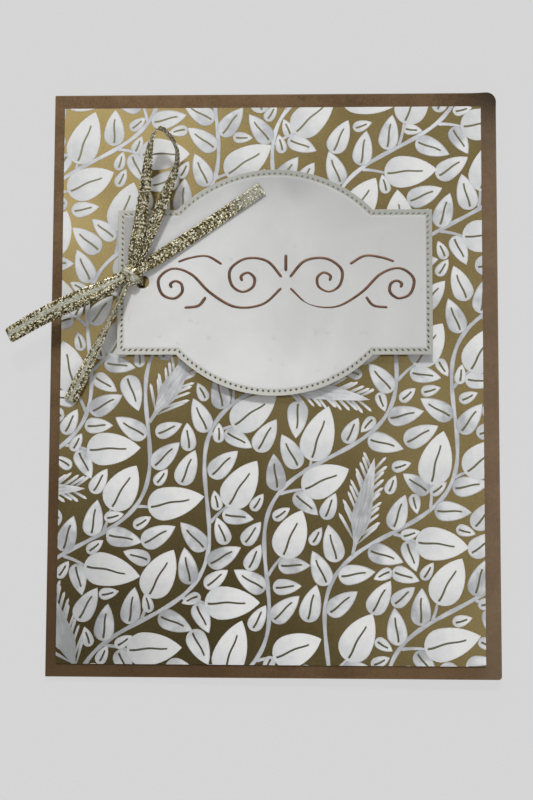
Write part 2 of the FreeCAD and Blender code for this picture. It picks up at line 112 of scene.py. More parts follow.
class Paint:    # the nodes of a material or of the world
    def __init__(self, owner):
        self.owner = owner
        self.owner.use_nodes = True
        self.tree = self.owner.node_tree
        self.shader = self.tree.nodes.get("Principled BSDF")

    def put(self, socket, value):
        if isinstance(value, Link):
            self.tree.links.new(value.socket, socket)
        else:
            socket.default_value = value

    def add(self, kind, settings=None, values=None, output=0):
        node = self.tree.nodes.new("ShaderNode" + kind)
        for key, value in (settings or {}).items():
            if key == "stops":
                ramp = node.color_ramp
                while len(ramp.elements) < len(value):
                    ramp.elements.new(1.0)
                for element, (place, colour) in zip(ramp.elements, value):
                    element.position = place
                    element.color = colour
            else:
                setattr(node, key, value)
        pairs = values.items() if isinstance(values, dict) else enumerate(values or [])
        for key, value in pairs:
            self.put(node.inputs[key], value)
        return Link(self, node.outputs[output])

    def objectMm(self):     # object coordinates in millimetres
        place = self.add("TexCoord", output="Object")
        return self.add("VectorMath", {"operation": "MULTIPLY"}, [place, (1000.0, 1000.0, 1000.0)])

    def split(self, vector):
        node = self.tree.nodes.new("ShaderNodeSeparateXYZ")
        self.put(node.inputs[0], vector)
        return [Link(self, out) for out in node.outputs]

    def stretch(self, vector, scale, turn=0.0):
        return self.add("Mapping", {"vector_type": "POINT"},
                        {"Vector": vector, "Scale": scale, "Rotation": (0.0, 0.0, math.radians(turn))})

    def noise(self, vector, scale, detail, roughness):
        return self.add("TexNoise", {}, {"Vector": vector, "Scale": scale, "Detail": detail,
                                         "Roughness": roughness})

    def step(self, value, low, high):
        return self.add("MapRange", {"interpolation_type": "SMOOTHSTEP"},
                        {"Value": value, "From Min": low, "From Max": high})

    def ramp(self, value, stops):
        return self.add("ValToRGB", {"stops": stops}, [value])

    def mix(self, share, first, second):
        return self.add("Mix", {"data_type": "RGBA"}, {0: share, 6: first, 7: second}, output=2)

    def layers(self, colour, *coats):   # each coat is a share and the colour that it mixes in
        for share, tone in coats:
            colour = self.mix(share, colour, tone)
        return colour

    def mixValue(self, share, first, second):
        return self.add("Mix", {"data_type": "FLOAT"}, {0: share, 2: first, 3: second})

    def bump(self, height, distance, strength):
        return self.add("Bump", {}, {"Height": height, "Distance": distance * mm, "Strength": strength})

    def finish(self, **values):
        for key, value in values.items():
            self.put(self.shader.inputs[key.replace("_", " ")], value)
        return self.owner


def newPaint(name):
    return Paint(bpy.data.materials.new(name))


# a colour given as 0 to 255 screen values, as the linear values a shader takes
def screen(red, green, blue):
    c = np.array([red, green, blue]) / 255.0
    linear = np.where(c <= 0.04045, c / 12.92, ((c + 0.055) / 1.055) ** 2.4)
    return (*[float(v) for v in linear], 1.0)


# directions of length one
def unit(way):
    return way / np.maximum(np.linalg.norm(way, axis=-1, keepdims=True), 1e-9)


# the length along a line of points, up to each of them
def lengthAlong(line):
    return np.concatenate([[0.0], np.cumsum(np.linalg.norm(np.diff(line, axis=0), axis=-1))])


# four-cornered faces between the neighbouring rings of a grid of points; closed joins its last ring
# to the first
def gridFaces(rows, ring, closed=False):
    i, j = np.meshgrid(np.arange(rows if closed else rows - 1), np.arange(ring), indexing="ij")
    below, beside = (i + 1) % rows, (j + 1) % ring
    return np.stack([i * ring + j, i * ring + beside, below * ring + beside, below * ring + j],
                    -1).reshape(-1, 4)


# the texture place of each corner of those faces: uv has one more column than the grid, and one more
# row if it is closed
def gridCorners(uv):
    return np.stack([uv[:-1, :-1], uv[:-1, 1:], uv[1:, 1:], uv[1:, :-1]], 2).reshape(-1, 2)


# several blocks of rings as one set of points and faces; a block is its points, an array of grids by
# rows by ring by coordinates, and any values at them
def joinBlocks(blocks):
    faces, count = [], 0
    for many, rows, ring in [block[0].shape[:3] for block in blocks]:
        shift = count + np.arange(many)[:, None, None] * rows * ring
        faces.append((gridFaces(rows, ring)[None] + shift).reshape(-1, 4))
        count += many * rows * ring
    values = [np.concatenate([part.reshape(-1, 3) for part in parts]) for parts in zip(*blocks)]
    return [values[0], np.concatenate(faces), *values[1:]]


# a mesh piece from points, faces, texture places and named values at the points; poles are merged
# and faces turned outwards, and page cuts it off square at planes
def makePiece(name, points, faces, material, uv=None, values=None, page=(), smooth=40.0):
    mesh = bpy.data.meshes.new(name)
    mesh.from_pydata(points.reshape(-1, 3).tolist(), [], faces.tolist())
    if uv is not None:
        layer = mesh.uv_layers.new(name="surface")
        layer.data.foreach_set("uv", gridCorners(uv).astype(np.float32).ravel())
    for key, value in (values or {}).items():
        attribute = mesh.attributes.new(key, "FLOAT_VECTOR", "POINT")
        attribute.data.foreach_set("vector", value.astype(np.float32).ravel())
    shape = bmesh.new()
    shape.from_mesh(mesh)
    bmesh.ops.remove_doubles(shape, verts=shape.verts, dist=2e-7)
    for point, normal in page:
        everything = shape.verts[:] + shape.edges[:] + shape.faces[:]
        bmesh.ops.bisect_plane(shape, geom=everything, dist=1e-8, plane_co=point, plane_no=normal,
                               clear_outer=True)
        rim = [edge for edge in shape.edges if edge.is_boundary]
        bmesh.ops.holes_fill(shape, edges=rim, sides=0)
    bmesh.ops.recalc_face_normals(shape, faces=shape.faces)
    shape.to_mesh(mesh)
    shape.free()
    mesh.shade_smooth()
    mesh.set_sharp_from_angle(angle=math.radians(smooth))
    mesh.materials.append(material)
    piece = addObject(name, mesh)
    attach(piece, "root")
    return piece


# the card's colours, three of them painted light and shade: the falloff of light to the left, foot and top,
# the shade of the curled upper right corner, and the light on the right border
kraft = {
    "dark": screen(94, 72, 48), "light": screen(126, 101, 74), "fibre": screen(146, 121, 92),
    "speck": screen(58, 43, 28), "worn": screen(138, 116, 90), "curlShade": screen(40, 29, 19),
    "falloffShade": screen(70, 51, 28), "rightLight": screen(118, 101, 83),
    "fibreTurns": [(12.0, 0.5), (-37.0, 0.7), (74.0, 0.6)], "cornerReach": 20.0,
}


def kraftCard():
    paint = newPaint("kraftCard")
    place = paint.objectMm()
    x, y = paint.split(place)[:2]
    cloud = paint.noise(place, 0.09, 5.0, 0.6)
    pulp = paint.noise(place, 1.6, 6.0, 0.7)
    strands = [paint.noise(paint.stretch(place, (4.2, lengthwise, 1.0), turn), 1.0, 4.0, 0.6)
               for turn, lengthwise in kraft["fibreTurns"]]
    fibres = sum(paint.step(strand, 0.60, 0.70) for strand in strands)
    specks = paint.step(paint.noise(place, 2.7, 2.0, 0.5), 0.68, 0.74)
    side = (card["width"] / 2 - abs(x)).math("MINIMUM", card["height"] / 2 - abs(y))
    worn = 1 - paint.step(side + pulp * 0.35, 0.16, 0.62)
    # painted shade: the card is darker towards its left and its foot, and along its top, where the light falls
    # off
    lowDown = (0.41 - y * 0.0075).math("MAXIMUM", 0.0)
    left, foot = 1 - paint.step(x, -54.0, 10.0), 1 - paint.step(y, -68.0, -50.0)
    topRight = paint.step(x, -40.0, 45.0) * paint.step(y, 60.0, 68.0)
    falloffShade = left * lowDown + foot * 0.5 + topRight * 0.3
    # painted shade at the upper right corner, where the card's tip curls up away from the light
    corner = ((x - card["width"] / 2) ** 2 + (y - card["height"] / 2) ** 2) ** 0.5
    curlShade = 1 - paint.step(corner + pulp * 3.0, 0.0, kraft["cornerReach"])
    # the lighter strip on the right border is painted light, where the light falls on the card most
    colour = paint.layers(
        kraft["dark"], (paint.step(cloud * 0.55 + pulp * 0.45, 0.36, 0.64), kraft["light"]),
        (fibres * 0.30, kraft["fibre"]), (specks * 0.55, kraft["speck"]), (worn * 0.5, kraft["worn"]),
        (falloffShade.math("MINIMUM", 0.8), kraft["falloffShade"]), (paint.step(x, 44.0, 52.0) * 0.5, kraft["rightLight"]),
        (curlShade * 0.75, kraft["curlShade"]))
    relief = pulp * 0.7 + fibres * 0.5 + cloud * 0.3
    return paint.finish(Base_Color=colour, Roughness=0.86, Normal=paint.bump(relief, 0.03, 0.8),
                        Specular_IOR_Level=0.25)


def dress(node, material):
    mesh = cadNodes[node].data
    mesh.materials.clear()
    mesh.materials.append(material)


dress("card_base", kraftCard())
print("kraft card done")

gold = {
    "leaf": screen(196, 175, 121), "deep": screen(167, 147, 97), "edge": screen(205, 202, 192),
}


def goldPaper():
    paint = newPaint("goldPaper")
    place = paint.objectMm()
    facing = paint.split(paint.add("TexCoord", output="Normal"))[2]
    grain = paint.noise(place, 3.6, 4.0, 0.7)
    drift = paint.noise(place, 0.045, 3.0, 0.5)
    colour = paint.mix(paint.step(grain * 0.5 + drift * 0.5, 0.35, 0.65), gold["deep"], gold["leaf"])
    top = facing > 0.5
    colour = paint.mix(top, gold["edge"], colour)
    return paint.finish(Base_Color=colour, Metallic=top * 0.96, Roughness=0.20 + grain * 0.04,
                        Normal=paint.bump(grain, 0.0015, 0.12))


dress("patterned_panel", goldPaper())
print("gold panel done")

# printed foliage: trailing vines with pointed leaves and plumes, and loose leaves between them

foliage = {
    "tilt": math.radians(-28.0), "spacing": 21.0, "swing": 7.0, "wave": 64.0, "rowPhase": 0.9,
    "stem": 1.0, "rows": range(-4, 5), "reach": math.hypot(panel["width"], panel["height"]) / 2 + 14.0,
    "nodeStep": 9.2, "plumeEvery": 9, "plumeSpine": (0.24, 0.4, 0.56, 0.72, 0.88),
    "twigShares": (1.0, 0.75, 0.5, 0.3), "leafTurn": 0.22, "forkAt": 0.62, "forkTurn": 0.95,
    "fillShares": (0.35, 0.7),
    "plumeTurn": 38.0, "twigTurn": 48.0, "sideTurn": 42.0, "fillTurn": 52.0,
    "swayTurn": 6.0, "swayLong": 0.8, "twig": 6.0, "twigWidth": 0.7,
    "leaf": (12.8, 3.9), "sideLeaf": (8.8, 2.4), "pairLeaf": (7.6, 2.1),
    "looseLeaves": [(9.0, 2.5), (6.8, 1.9), (4.8, 1.4)],
    "looseTurns": [0, 45, -45, 90, -90, 135, -135, 180],
    "looseDrift": 50.0, "looseGap": 0.3, "looseGrid": 2.0,
    "plume": 24.0, "plumeBare": 4.2, "plumeRoom": 3.6, "needle": 7.6, "needleStep": 1.75,
    "needleHalf": 0.33, "plumeHalf": 2.3,
    "gap": 0.12, "stemStep": 1.5, "stemRoom": 0.25, "roomCell": 8.0,
}
# the print's colours; the grey that darkens it towards the panel's lower left is painted shade
prints = {
    "white": screen(227, 227, 226), "shade": screen(197, 198, 199), "outline": screen(148, 149, 150),
    "silver": screen(184, 186, 189), "silverLight": screen(219, 220, 221),
    "stem": screen(220, 222, 226), "stemDark": screen(190, 192, 196),
    "plume": screen(176, 177, 179), "plumeLight": screen(238, 239, 240), "pearl": 0.42,
    "lowLeftShade": screen(150, 150, 149), "lowLeftShadeReach": 45.0, "slit": screen(146, 141, 113), "slitWidth": 0.24,
    "outlineWidth": 0.22, "edge": 0.04, "rise": 0.06,
}


def turned(x, y, angle):
    return np.stack([x * np.cos(angle) - y * np.sin(angle), x * np.sin(angle) + y * np.cos(angle)], -1)


# points along and across from a root, the whole turned by an angle
def fromRoot(x, y, along, across, angle):
    return np.stack([x, y], -1) + turned(along, across, angle)


def ahead(spot, distance, angle):
    return spot[0] + distance * math.cos(angle), spot[1] + distance * math.sin(angle)


# a sine wave of the swing's height about its row's line, the whole turned by the tilt
def vinePoint(row, along):
    across = row * foliage["spacing"] + foliage["swing"] * np.sin(
        2 * np.pi * along / foliage["wave"] + foliage["rowPhase"] * row)
    return turned(across, along, foliage["tilt"])


def vineHeading(row, along):
    way = vinePoint(row, along + 0.1) - vinePoint(row, along - 0.1)
    return np.arctan2(way[..., 1], way[..., 0])


# circles that fill a leaf, to test whether it has room
def leafCircles(x, y, angle, length, radius):
    spots = [(radius * 1.15, radius * 0.93), (length * 0.5, radius * 0.9),
             (length * 0.7, radius * 0.66), (length * 0.88, radius * 0.3)]
    return [(*ahead((x, y), d, angle), r) for d, r in spots]


class Room:     # the circles that are already covered, sorted by squares of the page
    def __init__(self):
        self.cells = {}

    def key(self, x, y):
        return math.floor(x / foliage["roomCell"]), math.floor(y / foliage["roomCell"])

    def cover(self, circles):
        for circle in circles:
            self.cells.setdefault(self.key(*circle[:2]), []).append(circle)

    def isFree(self, circles, gap):
        for x, y, r in circles:
            i, k = self.key(x, y)
            for key in [(i + a, k + b) for a in (0, -1, 1) for b in (0, -1, 1)]:
                for u, v, q in self.cells.get(key, ()):
                    if math.hypot(x - u, y - v) <= r + q + gap:
                        return False
        return True


def foliageLayout():
    f = foliage
    leaves, twigs, plumes = [], [], []
    room = Room()
    ends = int(f["reach"] / f["stemStep"]) + 1
    for row in f["rows"]:
        for x, y in vinePoint(row, np.arange(-ends, ends + 1) * f["stemStep"]).tolist():
            room.cover([(x, y, f["stemRoom"])])

    def addLeaf(x, y, angle, length, radius, gap=0.0, sprig=1.0):
        circles = leafCircles(x, y, angle, length, radius)
        near = abs(x) < panel["width"] / 2 + 5 and abs(y) < panel["height"] / 2 + 5
        fits = near and room.isFree(circles, gap)
        if fits:
            leaves.append((x, y, angle, length, radius, sprig))
            room.cover(circles)
        return fits

    places = []
    for row in f["rows"]:
        count = int(f["reach"] / f["nodeStep"])
        for j in range(-count, count + 1):
            along = (j + 0.5 * (row % 2)) * f["nodeStep"]
            places.append((row, j, along, vinePoint(row, along).tolist(), float(vineHeading(row, along)),
                           1 if (j + row) % 2 == 0 else -1))

    for row, j, along, p, heading, side in places:
        if (2 * j + 3 * row) % f["plumeEvery"] == 0:
            angle = heading - side * math.radians(f["plumeTurn"])
            body = [(*ahead(p, f["plume"] * share, angle), f["plumeRoom"]) for share in f["plumeSpine"]]
            if room.isFree(body[1:], 0.0):
                plumes.append((p[0], p[1], angle))
                room.cover(body)

    for row, j, along, p, heading, side in places:
        sway = math.sin(3.1 * j + 1.7 * row)
        angle = heading - side * math.radians(f["twigTurn"] + f["swayTurn"] * sway)
        for part in f["twigShares"]:
            reach = f["twig"] * part
            if addLeaf(*ahead(p, reach, angle), angle + side * f["leafTurn"],
                       f["leaf"][0] + f["swayLong"] * sway, f["leaf"][1], f["gap"], sprig=0.0):
                twigs.append((p[0], p[1], angle, reach, side))
                if part > 0.6:
                    fork = ahead(p, f["forkAt"] * reach, angle)
                    for bend in (f["forkTurn"], -f["forkTurn"]):
                        addLeaf(*ahead(fork, 0.5, angle + bend), angle + bend, *f["pairLeaf"])
                break
        angle = heading + side * math.radians(f["sideTurn"])
        addLeaf(*ahead(p, 1.0, angle), angle, *f["sideLeaf"])

    for row, j, along, p, heading, side in places:
        for share in f["fillShares"]:
            spot = vinePoint(row, along + f["nodeStep"] * share).tolist()
            facing = float(vineHeading(row, along + f["nodeStep"] * share))
            for way in (1, -1):
                angle = facing + way * math.radians(f["fillTurn"])
                addLeaf(*ahead(spot, 0.9, angle), angle, *f["sideLeaf"])

    for length, radius in f["looseLeaves"]:
        for i in range(int(panel["height"] / f["looseGrid"]) + 1):
            for k in range(int(panel["width"] / f["looseGrid"]) + 1):
                x = (k + 0.5 * (i % 2)) * f["looseGrid"] - panel["width"] / 2
                y = i * f["looseGrid"] - panel["height"] / 2
                drift = math.degrees(f["tilt"]) + 90 + f["looseDrift"] * math.sin(0.13 * x + 0.08 * y)
                for turn in f["looseTurns"]:
                    if addLeaf(x, y, math.radians(drift + turn), length, radius, f["looseGap"], 0.5):
                        break
    return np.array(leaves), np.array(twigs), np.array(plumes)


# closed strips along centre lines, flat on top with steep sides: each section stands square to its line
def stripBlock(line, half, along, kind, tone, length, rise=1.0):
    way = unit(np.gradient(line, axis=1))
    aside = np.stack([-way[..., 1], way[..., 0]], -1)
    top = np.maximum(half - prints["edge"], 0.5 * half)
    across = np.stack([-half, -top, top, half], -1)
    flat = line[:, :, None, :] + aside[:, :, None, :] * across[..., None]
    rise = np.reshape(prints["rise"] * rise * np.ones(len(line)), (-1, 1, 1))
    high = np.broadcast_to(panel["paper"] + rise * np.array([0.0, 1.0, 1.0, 0.0]), across.shape)
    points = np.concatenate([flat, high[..., None]], -1)
    where = np.stack([np.broadcast_to(along[..., None], across.shape), across,
                      np.broadcast_to(half[..., None], across.shape)], -1)
    what = np.stack([np.full(across.shape, float(kind)),
                     np.broadcast_to(tone[:, None, None], across.shape),
                     np.broadcast_to(length[:, None, None], across.shape)], -1)
    return points, where, what


# leaves: half the width is a half circle at the base, then an arc that runs on to the pointed tip;
# the share of the length at each row crowds the rows at both ends
def leafBlock(leaves, rows=17):
    x, y, angle, length, radius, sprig = [leaves[:, k:k + 1] for k in range(6)]
    share = (0.5 - 0.5 * np.cos(np.pi * np.linspace(0.0, 1.0, rows)))[None, :]
    share = 0.35 * share + 0.65 * share ** 1.5
    along = share * length
    rest = length - radius
    sideRadius = (rest ** 2 + radius ** 2) / (2 * radius)
    base = np.sqrt(np.clip(radius ** 2 - (along - radius) ** 2, 0.0, None))
    blade = radius - sideRadius + np.sqrt(np.clip(sideRadius ** 2 - (along - radius) ** 2, 0.0, None))
    half = np.where(along < radius, base, np.clip(blade, 0.0, None))
    rise = 1.0 - 0.06 * sprig[:, 0] - 0.05 * np.mod(x[:, 0] * 3.7, 1.0)
    return stripBlock(fromRoot(x, y, along, 0 * along, angle), half, along, 0, sprig[:, 0], length[:, 0],
                      rise)


# needles: blunt strokes of even width, rounded at the far end and thin at the root
def needleBlock(needles, rows=9):
    x, y, angle, length, half = [needles[:, k:k + 1] for k in range(5)]
    share = np.linspace(0.0, 1.0, rows)[None, :] ** 0.8
    along = share * length
    left = np.clip((length - along) / half, 0.0, 1.0)
    wide = half * (0.35 + 0.65 * np.clip(2.2 * share, 0.0, 1.0)) * np.sqrt(left * (2 - left))
    wide = np.where(share == 0.0, 0.0, wide)
    line = fromRoot(x, y, along, needles[:, 5:6] * share ** 2, angle)
    return stripBlock(line, wide, along, 2, np.mod(needles[:, 0] * 1.7, 1.0), length[:, 0], 0.9)


def stemBlocks(twigs, plumes):
    f = foliage
    ends = int(f["reach"] / (f["wave"] / 12)) + 1
    along = np.linspace(-ends, ends, 200) * f["wave"] / 12
    vines = np.stack([vinePoint(row, along) for row in f["rows"]])
    rowCount = len(vines)
    half = f["stem"] / 2 * (1.0 + 0.12 * np.sin(along * 0.85))
    half[[0, -1]] = 0.0
    blocks = [stripBlock(vines, np.tile(half, (rowCount, 1)), np.tile(along, (rowCount, 1)), 1,
                         np.linspace(0.0, 1.0, rowCount), np.full(rowCount, 200.0), 0.84)]
    x, y, angle, reach, side = [twigs[:, k:k + 1] for k in range(5)]
    t = np.linspace(0.0, 1.0, 9)[None, :]
    along = t * (reach + 0.5)
    line = fromRoot(x, y, along, side * 0.34 * (t - t * t) * reach * 0.5, angle)
    half = f["twigWidth"] / 2 * (1.25 - 0.4 * t) * np.ones_like(reach)
    half[:, [0, -1]] = 0.0
    blocks.append(stripBlock(line, half, along, 1, np.mod(x[:, 0], 1.0), reach[:, 0], 0.8))
    x, y, angle = [plumes[:, k:k + 1] for k in range(3)]
    t = np.linspace(0.0, 1.0, 25)[None, :]
    along = t * f["plume"] * np.ones_like(x)
    body = np.clip((t - 0.1) / 0.3, 0.0, 1.0)
    body = body * body * (3 - 2 * body) * (1 - np.clip((t - 0.4) / 0.56, 0.0, 1.0) ** 1.3)
    half = 0.4 + (f["plumeHalf"] - 0.4) * body
    half = np.tile(half * np.sqrt(np.clip((1 - t) * 12, 0.0, 1.0)), (len(plumes), 1))
    half[:, [0, -1]] = 0.0
    blocks.append(stripBlock(fromRoot(x, y, along, 0 * along, angle), half, along, 2,
                             np.full(len(plumes), 2.0), np.full(len(plumes), f["plume"])))
    return blocks


# needles in pairs along each plume, shorter towards its tip, each bent a little outwards
def needleList(plumes):
    f = foliage
    root = np.arange(f["plumeBare"] - 1.4, f["plume"] - 3.0, f["needleStep"])
    share = root / f["plume"]
    length = f["needle"] * (1.06 - 0.55 * share)
    lean = np.radians(38.0 - 12.0 * share)
    x, y, angle = [plumes[:, k][:, None, None] for k in range(3)]
    way = np.array([-1.0, 1.0])[None, None, :]
    root = root[None, :, None] + 0.5 * f["needleStep"] * (way > 0)
    spot = fromRoot(x, y, root, 0.25 * way + 0 * root, angle)
    facing = angle + way * (lean[None, :, None] + 0.07 * np.sin(5.0 * root + 3.0 * way))
    longs = length[None, :, None] + 0.7 * np.sin(7.0 * root + 2.0 * way + x)
    full = np.broadcast_arrays(spot[..., 0], spot[..., 1], facing, longs,
                               f["needleHalf"] + 0.05 * np.sin(9.0 * root + way), 0.35 * way)
    return np.stack(full, -1).reshape(-1, 6)


# fields that lie wholly under the tag aren't drawn
def underTag(leaves):
    x = leaves[:, 0] + 0.5 * leaves[:, 3] * np.cos(leaves[:, 2]) - tag["x"]
    y = leaves[:, 1] + 0.5 * leaves[:, 3] * np.sin(leaves[:, 2]) - tag["y"]
    room = 0.5 * leaves[:, 3] + 2.0
    return (np.abs(x) < tag["width"] / 2 - room) & (np.abs(y) < tag["stubHeight"] / 2 - room)


# "where" holds the place along, the place across and half the width; "what" holds the kind (0 leaf,
# 1 stem, 2 plume), the tone (a leaf's share of silver, a plume body's 2) and the whole length
def printMaterial():
    paint = newPaint("whitePrint")
    place = paint.objectMm()
    where = paint.add("Attribute", {"attribute_name": "where"}, output="Vector")
    what = paint.add("Attribute", {"attribute_name": "what"}, output="Vector")
    along, across, half = paint.split(where)
    kind, tone, length = paint.split(what)
    isLeaf = kind < 0.5
    isStem = (kind > 0.5) * (kind < 1.5)
    isPlume = kind > 1.5
    isBody = isPlume * (tone > 1.5)
    share = along / length
    rim = half - abs(across)
    cloud = paint.noise(place, 0.16, 3.0, 0.55)
    patch = paint.noise(place, 0.55, 3.0, 0.55)
    fine = paint.noise(place, 2.2, 4.0, 0.65)
    streak = paint.noise(paint.add("CombineXYZ", {}, [along * 0.25, across * 2.2, tone * 7.0]), 1.0, 3.0, 0.6)
    shaded = (1 - paint.step(share, 0.0, 0.7)) * 0.7 + (patch - 0.5) * 0.9
    white = paint.mix(shaded.math("MAXIMUM", 0.0), prints["white"], prints["shade"])
    deep = paint.step(cloud * 1.2 + (patch - 0.5) * 0.3 - share * 0.25, 0.25, 0.75)
    silver = paint.mix(deep, prints["silverLight"], prints["silver"])
    outline = 1 - paint.step(rim, prints["outlineWidth"] * 0.3, prints["outlineWidth"] * 1.6)
    leafColour = paint.layers(white, (tone * (0.35 + 0.65 * deep), silver),
                              (outline * (0.2 + 0.5 * tone), prints["outline"]))
    slitRim = abs(across + 0.14 * (along * 0.9).math("SINE")) - prints["slitWidth"] * (1.1 - 0.35 * share)
    slit = (1 - paint.step(slitRim, -0.05, 0.05)) * (1 - paint.step(share, 0.72, 0.75)) \
        * paint.step(along, 0.6, 0.8) * isLeaf
    stemColour = paint.layers(prints["stemDark"], (paint.step(cloud, 0.35, 0.65), prints["stem"]),
                              ((1 - paint.step(rim, 0.03, 0.2)) * 0.5, prints["outline"]))
    needle = paint.step(share + (fine - 0.5) * 0.3, 0.2, 0.9)
    bodyTone = paint.step(cloud * 0.8 + share * 0.25 + (streak - 0.5) * 0.5, 0.35, 0.8)
    plumeColour = paint.mix(paint.mixValue(isBody, needle, bodyTone), prints["plume"], prints["plumeLight"])
    # painted shade: the print greys towards the panel's lower left corner, where the light falls off
    x, y = paint.split(place)[:2]
    corner = ((x + panel["width"] / 2) ** 2 + (y + panel["height"] / 2) ** 2) ** 0.5
    colour = paint.layers(leafColour, (isStem, stemColour), (isPlume, plumeColour), (slit, prints["slit"]),
                          ((1 - paint.step(corner, 8.0, prints["lowLeftShadeReach"])) * 0.5, prints["lowLeftShade"]))
    gloss = (isStem + isPlume + isLeaf * tone * deep) * prints["pearl"]
    gloss = paint.mixValue(slit, gloss, 0.95)
    return paint.finish(Base_Color=colour, Metallic=gloss, Roughness=0.5 - gloss * 0.22 + (fine - 0.5) * 0.1,
                        Normal=paint.bump(fine * 0.3 - slit * 0.6, 0.02, 0.4))


tag = {
    "x": 0.3, "y": 23.5, "width": 75.0, "stubHeight": 34.9, "chord": 46.8, "domeRise": 9.8,
    "stock": 0.35, "top": 2.18, "hole": 3.2, "holeFromEdge": 6.0, "foam": 1.5,
    "dotInset": 1.07, "dotSpacing": 1.3, "dotRadius": 0.235, "perDot": 8,
    "bandWidth": 1.5, "bandDepth": 0.09, "bevel": 0.06, "dotDepth": 0.16, "warp": 0.10,
}


def makePrint():
    leaves, twigs, plumes = foliageLayout()
    leaves, needles = [part[~underTag(part)] for part in (leaves, needleList(plumes))]
    points, faces, where, what = joinBlocks(
        [leafBlock(leaves), *stemBlocks(twigs, plumes), needleBlock(needles)])
    points[:, :2] += (panel["x"], panel["y"])
    halfWide, halfHigh = panel["width"] / 2, panel["height"] / 2
    middle = onFront(np.array([panel["x"], panel["y"], panel["paper"]]))
    wide = np.array([halfWide * math.cos(lift), 0.0, halfWide * math.sin(lift)]) * mm
    high = np.array([0.0, halfHigh, 0.0]) * mm
    page = [(middle + way * arm, way * arm / np.linalg.norm(arm))
            for arm in (wide, high) for way in (1, -1)]
    piece = makePiece("leafPrint", onFront(points), faces, printMaterial(),
                      values={"where": where, "what": what}, page=page, smooth=30.0)
    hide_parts("leaf_print")
    print("foliage printed:", len(leaves), "leaves,", len(plumes), "plumes")


makePrint()


# the tag's outline at a depth in from its edge, the same number of points on each side at any depth:
# straight sides between corners, and arcs of the dome's radius less the depth
def tagLoop(depth):
    half, high, chord = tag["width"] / 2, tag["stubHeight"] / 2, tag["chord"] / 2
    radius = (chord ** 2 + tag["domeRise"] ** 2) / (2 * tag["domeRise"])
    centre = high + tag["domeRise"] - radius

    def corners(d):
        x = math.sqrt((radius - d) ** 2 - (high - d - centre) ** 2)
        return half - d, high - d, x, math.asin(x / (radius - d))

    inset = corners(tag["dotInset"])
    lengths = {"side": 2 * inset[1], "stub": inset[0] - inset[2],
               "dome": 2 * inset[3] * (radius - tag["dotInset"])}
    counts = {key: int(round(value / tag["dotSpacing"])) for key, value in lengths.items()}
    wide, tall, x, reach = corners(depth)

    def shares(kind):
        count = counts[kind] * tag["perDot"]
        return np.arange(count) / count

    def straight(start, end, kind):
        t = shares(kind)[:, None]
        return np.array(start) * (1 - t) + np.array(end) * t

    def dome(way):
        angle = reach * (2 * shares("dome") - 1)
        arm = radius - depth
        return way * np.stack([arm * np.sin(angle), centre + arm * np.cos(angle)], -1)

    loop = np.concatenate([
        straight((-wide, -tall), (-wide, tall), "side"), straight((-wide, tall), (-x, tall), "stub"), dome(1),
        straight((x, tall), (wide, tall), "stub"), straight((wide, tall), (wide, -tall), "side"),
        straight((wide, -tall), (x, -tall), "stub"), dome(-1), straight((-x, -tall), (-wide, -tall), "stub")])
    return loop + (tag["x"], tag["y"])


# among the white card's colours these are painted shade: the grey at the dome's top, the greys towards the
# upper right on the card and on its band, along the upper rim and at the upper left, and the dark of the
# pierced holes
whites = {
    "clean": screen(223, 223, 222), "cloudy": screen(213, 213, 212), "upperRightShade": screen(193, 193, 192),
    "domeShade": screen(166, 166, 166), "rim": screen(176, 176, 175), "shaded": screen(164, 165, 161),
    "smudge": screen(184, 184, 180), "band": screen(192, 192, 181), "bandInShade": screen(162, 163, 154),
    "halo": screen(150, 150, 136), "hole": screen(52, 49, 34),
}


def whiteCard():
    paint = newPaint("whiteCard")
    place = paint.objectMm()
    phase, depth = paint.split(paint.add("UVMap", {"uv_map": "surface"}))[:2]
    dotSide = (phase.math("FRACT") - 0.5) * tag["dotSpacing"]
    ring = (dotSide ** 2 + (depth - tag["dotInset"]) ** 2) ** 0.5
    # painted shade: each pierced stitch hole is a dark disc, the shaded gold seen through it, fainter towards
    # the upper right
    piercedShade = 1 - paint.step(ring, tag["dotRadius"] * 0.8, tag["dotRadius"] * 1.35)
    halo = (1 - paint.step(ring, tag["dotRadius"] * 1.2, tag["dotRadius"] * 2.4)) * 0.25
    smudge = paint.step(paint.noise(place, 0.33, 2.0, 0.5), 0.66, 0.74) * 0.3
    band = 1 - paint.step(depth, tag["bandWidth"] - 0.05, tag["bandWidth"] + 0.12)
    cloud = paint.noise(place, 0.055, 4.0, 0.55)
    soft = paint.noise(paint.stretch(place, (1.0, 0.5, 1.0), 20.0), 0.12, 3.0, 0.5)
    tooth = paint.noise(place, 3.2, 5.0, 0.6)
    x, y = paint.split(place)[:2]
    faint = paint.step(y + x * 0.25, 15.0, 40.0)
    # painted shade: a soft grey zone at the dome's top, for the shading of the card's uneven surface
    spot = (((x - 2.0) * 0.5) ** 2 + (y - 49.0) ** 2) ** 0.5
    domeShade = 1 - paint.step(spot + soft * 9.0, 4.0, 12.5)
    shaded = paint.step(0 - x, 29.0, 33.0) * paint.step(y, 21.0, 30.0)
    # painted shade along the upper edges, just inside the pressed band
    rim = (1 - paint.step(depth, 1.6, 4.5)) * paint.step(y, 25.0, 42.0)
    # painted shade: the card greys towards its upper right, and so does the band there
    upperRightShade = paint.step(x * 0.9 + y * 0.7 + (soft - 0.5) * 40.0, -12.0, 46.0)
    colour = paint.layers(
        whites["clean"], (paint.step(cloud, 0.3, 0.7), whites["cloudy"]), (upperRightShade * 0.8, whites["upperRightShade"]),
        (domeShade * 0.85, whites["domeShade"]), (rim * 0.4, whites["rim"]), (shaded * 0.8, whites["shaded"]),
        (smudge, whites["smudge"]), (band * 0.8, paint.mix(upperRightShade, whites["band"], whites["bandInShade"])),
        (halo, whites["halo"]), (piercedShade * (0.95 - faint * 0.4), whites["hole"]))
    return paint.finish(Base_Color=colour, Roughness=0.55, Normal=paint.bump(tooth, 0.008, 0.5),
                        Specular_IOR_Level=0.35)


